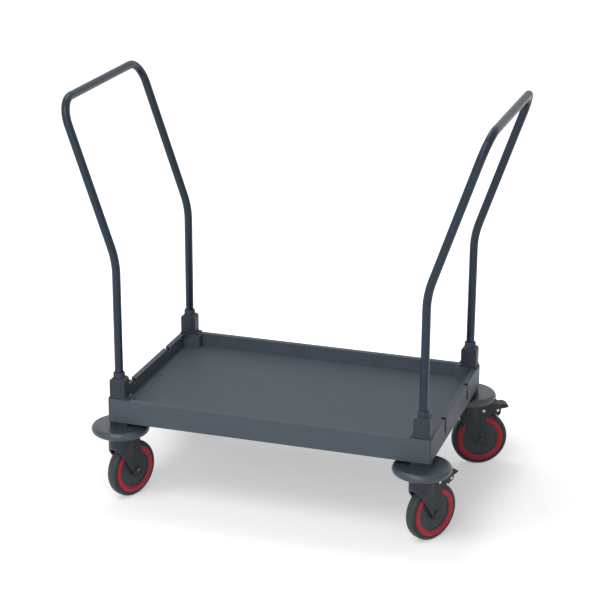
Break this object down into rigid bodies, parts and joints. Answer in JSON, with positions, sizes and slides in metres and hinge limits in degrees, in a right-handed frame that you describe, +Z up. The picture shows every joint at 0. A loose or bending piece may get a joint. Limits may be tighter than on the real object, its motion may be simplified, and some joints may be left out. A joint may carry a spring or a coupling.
{
  "type": "tray cart",
  "caption": "Tray cart: a shallow moulded tray on swivel castors with round bumpers, a flared U-shaped push handle at each end, and wheel brakes at one end.",
  "frame": {"origin": "on the floor under the middle of the tray", "axes": "+X along the tray towards the braked end, +Y across the tray to the rear, +Z up"},
  "size_m": [0.9082, 0.54, 0.8782],
  "materials": {
    "tray_plastic": "fine moulded grain, satin",
    "socket_plastic": "smooth moulded, satin",
    "tube_paint": "powder coat, satin",
    "bumper_rubber": "smooth, low sheen",
    "fork_nylon": "fine moulded grain",
    "core_plastic": "smooth, satin",
    "tyre_rubber": "soft grey, matt",
    "ring_plastic": "smooth, glossy",
    "pedal_plastic": "fine moulded grain",
    "shoe_plastic": "smooth, satin",
    "zinc_steel": "bright zinc plate",
    "bearing_steel": "ground steel",
    "black_steel": "black passivated, satin",
    "seal_rubber": "moulded seal over the bearing, matt"
  },
  "bodies": {
    "frame": {"tray": "tray_plastic", "socket_fl": "socket_plastic", "socket_fr": "socket_plastic", "socket_bl": "socket_plastic", "socket_br": "socket_plastic", "handle_left": "tube_paint", "handle_right": "tube_paint", "grub_screws": "zinc_steel", "corner_bolts": "zinc_steel", "corner_nuts": "zinc_steel", "king_pins": "zinc_steel", "swivel_bearings": "bearing_steel", "pad_fl": "socket_plastic", "pad_fr": "socket_plastic", "pad_bl": "socket_plastic", "pad_br": "socket_plastic", "bumper_fl": "bumper_rubber", "bumper_fr": "bumper_rubber", "bumper_bl": "bumper_rubber", "bumper_br": "bumper_rubber"},
    "swivel_fl": {"fork_fl": "fork_nylon", "axle_fl": "black_steel", "spacer_fl": "black_steel"},
    "wheel_fl": {"core_fl": "core_plastic", "tyre_fl": "tyre_rubber", "rings_fl": "ring_plastic", "discs_fl": "core_plastic", "bearings_fl": "seal_rubber"},
    "swivel_fr": {"fork_fr": "fork_nylon", "axle_fr": "black_steel", "spacer_fr": "black_steel", "brake_pins_fr": "zinc_steel"},
    "wheel_fr": {"core_fr": "core_plastic", "tyre_fr": "tyre_rubber", "rings_fr": "ring_plastic", "discs_fr": "core_plastic", "bearings_fr": "seal_rubber"},
    "pedal_fr": {"pedal_fr": "pedal_plastic"},
    "shoe_fr": {"brake_shoe_fr": "shoe_plastic"},
    "swivel_bl": {"fork_bl": "fork_nylon", "axle_bl": "black_steel", "spacer_bl": "black_steel"},
    "wheel_bl": {"core_bl": "core_plastic", "tyre_bl": "tyre_rubber", "rings_bl": "ring_plastic", "discs_bl": "core_plastic", "bearings_bl": "seal_rubber"},
    "swivel_br": {"fork_br": "fork_nylon", "axle_br": "black_steel", "spacer_br": "black_steel", "brake_pins_br": "zinc_steel"},
    "wheel_br": {"core_br": "core_plastic", "tyre_br": "tyre_rubber", "rings_br": "ring_plastic", "discs_br": "core_plastic", "bearings_br": "seal_rubber"},
    "pedal_br": {"pedal_br": "pedal_plastic"},
    "shoe_br": {"brake_shoe_br": "shoe_plastic"}
  },
  "joints": [
    {"name": "swivel_fl", "type": "hinge", "parent": "frame", "child": "swivel_fl", "pos_m": [-0.332, -0.208, 0.1376], "axis": [0, 0, 1], "continuous": true},
    {"name": "wheel_fl", "type": "hinge", "parent": "swivel_fl", "child": "wheel_fl", "pos_m": [-0.32106, -0.18223, 0.0625], "axis": [-0.9205, 0.3907, 0], "continuous": true},
    {"name": "swivel_fr", "type": "hinge", "parent": "frame", "child": "swivel_fr", "pos_m": [0.332, -0.208, 0.1376], "axis": [0, 0, 1], "continuous": true},
    {"name": "wheel_fr", "type": "hinge", "parent": "swivel_fr", "child": "wheel_fr", "pos_m": [0.34725, -0.18452, 0.0625], "axis": [-0.8387, 0.5446, 0], "continuous": true},
    {"name": "pedal_fr", "type": "hinge", "parent": "swivel_fr", "child": "pedal_fr", "pos_m": [0.36686, -0.15432, 0.133], "axis": [-0.8387, 0.5446, 0], "range_deg": [0, 22]},
    {"name": "shoe_fr", "type": "hinge", "parent": "swivel_fr", "child": "shoe_fr", "pos_m": [0.34943, -0.18116, 0.133], "axis": [-0.8387, 0.5446, 0], "range_deg": [0, 3.5]},
    {"name": "swivel_bl", "type": "hinge", "parent": "frame", "child": "swivel_bl", "pos_m": [-0.332, 0.208, 0.1376], "axis": [0, 0, 1], "continuous": true},
    {"name": "wheel_bl", "type": "hinge", "parent": "swivel_bl", "child": "wheel_bl", "pos_m": [-0.30728, 0.22115, 0.0625], "axis": [-0.4695, 0.8829, 0], "continuous": true},
    {"name": "swivel_br", "type": "hinge", "parent": "frame", "child": "swivel_br", "pos_m": [0.332, 0.208, 0.1376], "axis": [0, 0, 1], "continuous": true},
    {"name": "wheel_br", "type": "hinge", "parent": "swivel_br", "child": "wheel_br", "pos_m": [0.35717, 0.22027, 0.0625], "axis": [-0.4384, 0.8988, 0], "continuous": true},
    {"name": "pedal_br", "type": "hinge", "parent": "swivel_br", "child": "pedal_br", "pos_m": [0.38952, 0.23606, 0.133], "axis": [-0.4384, 0.8988, 0], "range_deg": [0, 22]},
    {"name": "shoe_br", "type": "hinge", "parent": "swivel_br", "child": "shoe_br", "pos_m": [0.36076, 0.22203, 0.133], "axis": [-0.4384, 0.8988, 0], "range_deg": [0, 3.5]}
  ],
  "couplings": [
    {"joint": "shoe_fr", "follows": "pedal_fr", "ratio": 0.159},
    {"joint": "shoe_br", "follows": "pedal_br", "ratio": 0.159}
  ]
}
